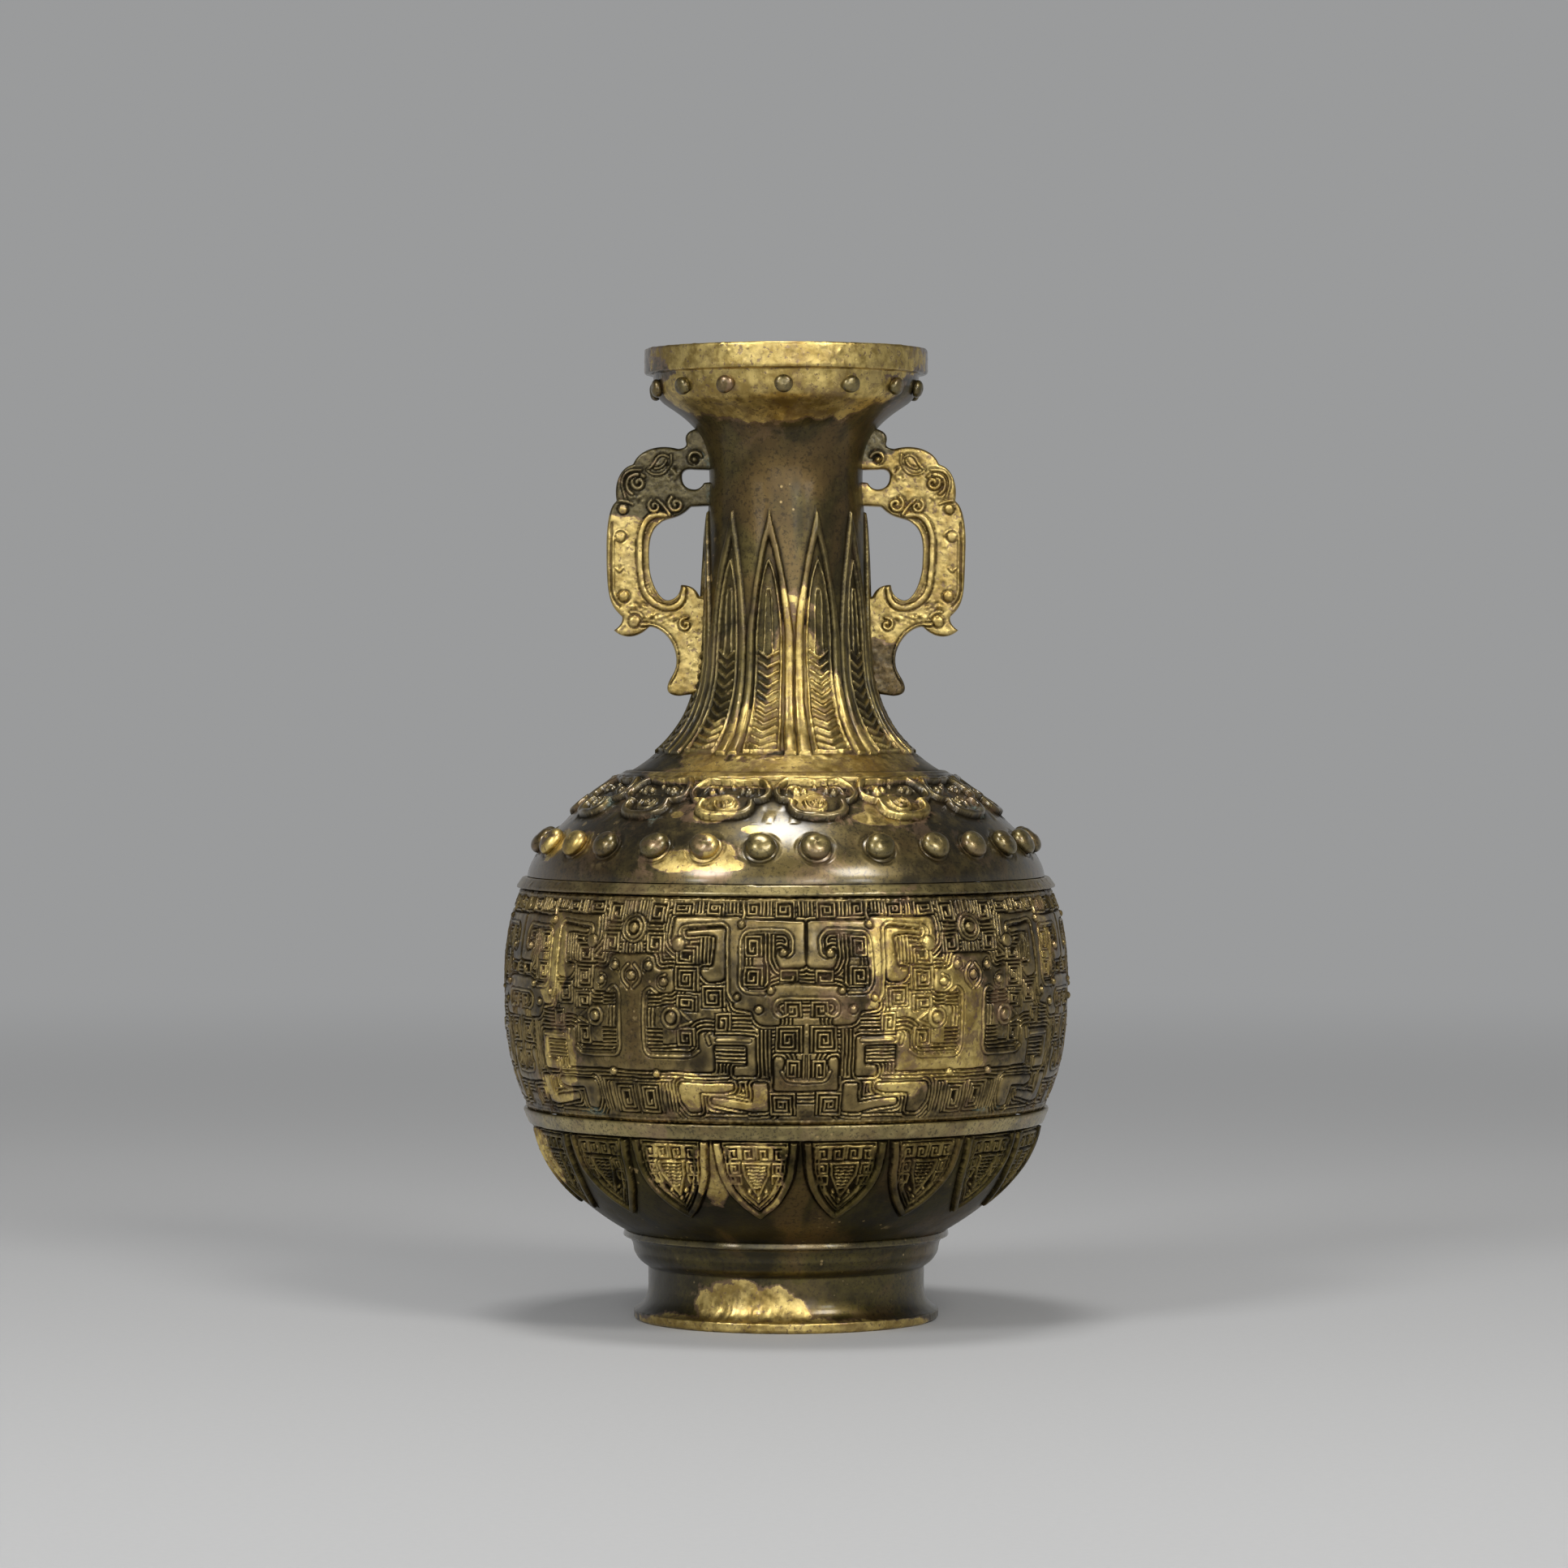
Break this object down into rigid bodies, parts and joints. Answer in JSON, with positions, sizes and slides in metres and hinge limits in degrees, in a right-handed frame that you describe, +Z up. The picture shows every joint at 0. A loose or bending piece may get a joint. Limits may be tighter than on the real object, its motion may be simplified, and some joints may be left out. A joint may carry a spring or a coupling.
{
  "type": "bronze vase",
  "caption": "Dish-mouthed bronze vase with a long neck, two flat open-work beast handles, a studded shoulder, a round belly and a stepped foot.",
  "frame": {"origin": "middle of the foot's underside, on the table", "axes": "+Z up through the mouth, handles on +X and -X, the pictured front towards -Y"},
  "size_m": [0.1338, 0.1338, 0.23],
  "materials": {
    "cast_bronze": "patinated olive brown with worn gilt splashes",
    "inner_bronze": "dull dark cast surface",
    "hoop_bronze": "rubbed, satin",
    "gilt_bronze": "worn fire gilding over bronze",
    "stud_bronze": "rubbed bright on top"
  },
  "bodies": {
    "root": {"foot_and_bowl": "cast_bronze", "base_plate": "inner_bronze", "lower_hoop": "hoop_bronze", "belly": "cast_bronze", "upper_hoop": "hoop_bronze", "shoulder_and_neck": "cast_bronze", "handle_right": "gilt_bronze", "handle_left": "gilt_bronze", "mouth_stud_01": "stud_bronze", "mouth_stud_02": "stud_bronze", "mouth_stud_03": "stud_bronze", "mouth_stud_04": "stud_bronze", "mouth_stud_05": "stud_bronze", "mouth_stud_06": "stud_bronze", "mouth_stud_07": "stud_bronze", "mouth_stud_08": "stud_bronze", "mouth_stud_09": "stud_bronze", "mouth_stud_10": "stud_bronze", "mouth_stud_11": "stud_bronze", "mouth_stud_12": "stud_bronze", "mouth_stud_13": "stud_bronze", "mouth_stud_14": "stud_bronze", "shoulder_stud_01": "stud_bronze", "shoulder_stud_02": "stud_bronze", "shoulder_stud_03": "stud_bronze", "shoulder_stud_04": "stud_bronze", "shoulder_stud_05": "stud_bronze", "shoulder_stud_06": "stud_bronze", "shoulder_stud_07": "stud_bronze", "shoulder_stud_08": "stud_bronze", "shoulder_stud_09": "stud_bronze", "shoulder_stud_10": "stud_bronze", "shoulder_stud_11": "stud_bronze", "shoulder_stud_12": "stud_bronze", "shoulder_stud_13": "stud_bronze", "shoulder_stud_14": "stud_bronze", "shoulder_stud_15": "stud_bronze", "shoulder_stud_16": "stud_bronze", "shoulder_stud_17": "stud_bronze", "shoulder_stud_18": "stud_bronze", "shoulder_stud_19": "stud_bronze", "shoulder_stud_20": "stud_bronze", "shoulder_stud_21": "stud_bronze", "shoulder_stud_22": "stud_bronze", "shoulder_stud_23": "stud_bronze", "shoulder_stud_24": "stud_bronze", "shoulder_stud_25": "stud_bronze", "shoulder_stud_26": "stud_bronze", "shoulder_stud_27": "stud_bronze", "shoulder_stud_28": "stud_bronze"}
  },
  "joints": []
}
